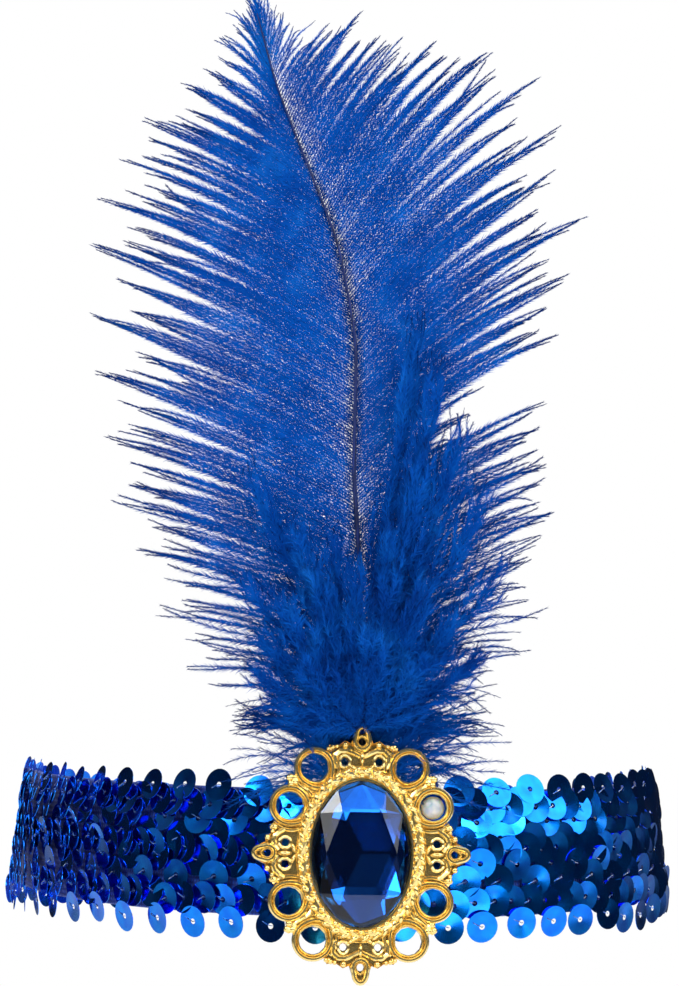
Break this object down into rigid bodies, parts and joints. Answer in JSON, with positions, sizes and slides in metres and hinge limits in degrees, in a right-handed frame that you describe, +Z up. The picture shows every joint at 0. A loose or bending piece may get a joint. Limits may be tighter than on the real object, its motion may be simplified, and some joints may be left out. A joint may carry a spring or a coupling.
{
  "type": "showgirl feather headdress",
  "caption": "Elastic headband covered in zigzag strands of blue sequins, with a blue ostrich plume and a pierced gilt medallion holding an oval faceted stone.",
  "frame": {"origin": "centre of the head opening, level with the lower edge of the band's front", "axes": "+Z up out of the head opening, -Y the wearer's forward side where the medallion is, +X the wearer's left"},
  "size_m": [0.161, 0.2062, 0.2097],
  "materials": {
    "elastic": "woven royal blue elastic",
    "sequin": "metallised azure sequins",
    "feather": "dyed royal blue ostrich barbs",
    "gilt": "bright gilt plating on a moulding",
    "gem": "foil-backed sapphire blue faceted acrylic",
    "glue": "milky hot-melt glue"
  },
  "bodies": {
    "root": {"elastic_band": "elastic", "sequin_strand_lower": "sequin", "sequin_strand_middle": "sequin", "sequin_strand_upper": "sequin", "plume": "feather", "down_tuft": "feather", "medallion": "gilt", "stone": "gem", "glue_drop": "glue"}
  },
  "joints": []
}
